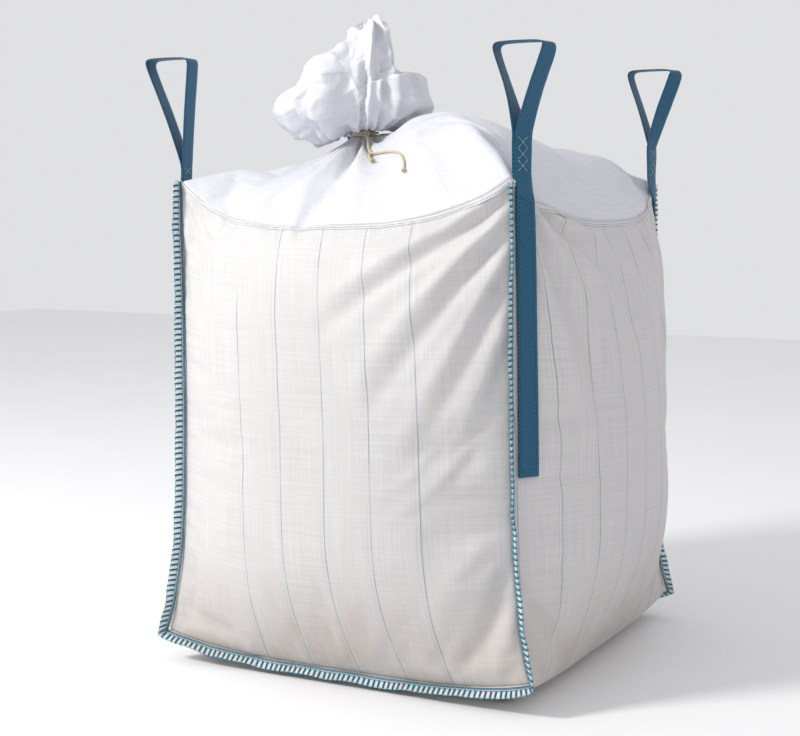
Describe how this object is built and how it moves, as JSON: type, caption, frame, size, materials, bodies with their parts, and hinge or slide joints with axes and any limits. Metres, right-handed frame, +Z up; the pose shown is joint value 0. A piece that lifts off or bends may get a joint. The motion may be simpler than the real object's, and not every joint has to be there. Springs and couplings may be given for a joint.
{
  "type": "bulk bag",
  "caption": "Full woven bulk bag standing on its flat base, with sewn fin seams, a duffle top tied at the neck, and webbing lifting loops at the corners.",
  "frame": {"origin": "centre of the flat patch of the base that rests on the floor", "axes": "+Z up, -Y towards the front panel, +X towards the right wall"},
  "size_m": [1.1354, 1.1808, 1.552],
  "materials": {
    "cloth": "woven, off-white",
    "duffle_cloth": "light woven, cool white",
    "webbing": "basket weave, teal",
    "seam_thread": "twisted thread, teal",
    "tack_thread": "twisted thread, white",
    "tie_cord": "laid cord, straw",
    "product": "granular, matt"
  },
  "bodies": {
    "bag": {"bulk_fill": "product", "u_panel": "cloth", "front_panel": "cloth", "rear_panel": "cloth", "front_seam_fin": "cloth", "rear_seam_fin": "cloth", "front_overlock": "seam_thread", "rear_overlock": "seam_thread", "front_chain_stitch": "seam_thread", "rear_chain_stitch": "seam_thread", "rim_hem": "cloth", "duffle_skirt": "duffle_cloth", "tie_wrap": "tie_cord", "tie_knot": "tie_cord", "tie_tail_short": "tie_cord", "tie_tail_long": "tie_cord", "leg_front_left": "webbing", "leg_front_right": "webbing", "leg_rear_left": "webbing", "leg_rear_right": "webbing", "leg_stitch_front_left": "seam_thread", "leg_stitch_front_right": "seam_thread", "leg_stitch_rear_left": "seam_thread", "leg_stitch_rear_right": "seam_thread"},
    "crown": {"duffle_crown": "duffle_cloth"},
    "loop_front_left": {"loop_front_left": "webbing", "tack_front_left": "tack_thread"},
    "loop_front_right": {"loop_front_right": "webbing", "tack_front_right": "tack_thread"},
    "loop_rear_left": {"loop_rear_left": "webbing", "tack_rear_left": "tack_thread"},
    "loop_rear_right": {"loop_rear_right": "webbing", "tack_rear_right": "tack_thread"}
  },
  "joints": [
    {"name": "crown_flop", "type": "hinge", "parent": "bag", "child": "crown", "pos_m": [-0.1, -0.15, 1.272], "axis": [0, 1, 0], "range_deg": [-15, 6]},
    {"name": "swing_front_left", "type": "hinge", "parent": "bag", "child": "loop_front_left", "pos_m": [-0.4304, -0.425, 1.166], "axis": [0, -1, 0], "range_deg": [-60, 120]},
    {"name": "swing_front_right", "type": "hinge", "parent": "bag", "child": "loop_front_right", "pos_m": [0.4304, -0.425, 1.166], "axis": [0, 1, 0], "range_deg": [-35, 120]},
    {"name": "swing_rear_left", "type": "hinge", "parent": "bag", "child": "loop_rear_left", "pos_m": [-0.4304, 0.425, 1.166], "axis": [0, -1, 0], "range_deg": [-60, 120]},
    {"name": "swing_rear_right", "type": "hinge", "parent": "bag", "child": "loop_rear_right", "pos_m": [0.4304, 0.425, 1.166], "axis": [0, 1, 0], "range_deg": [-60, 120]}
  ]
}
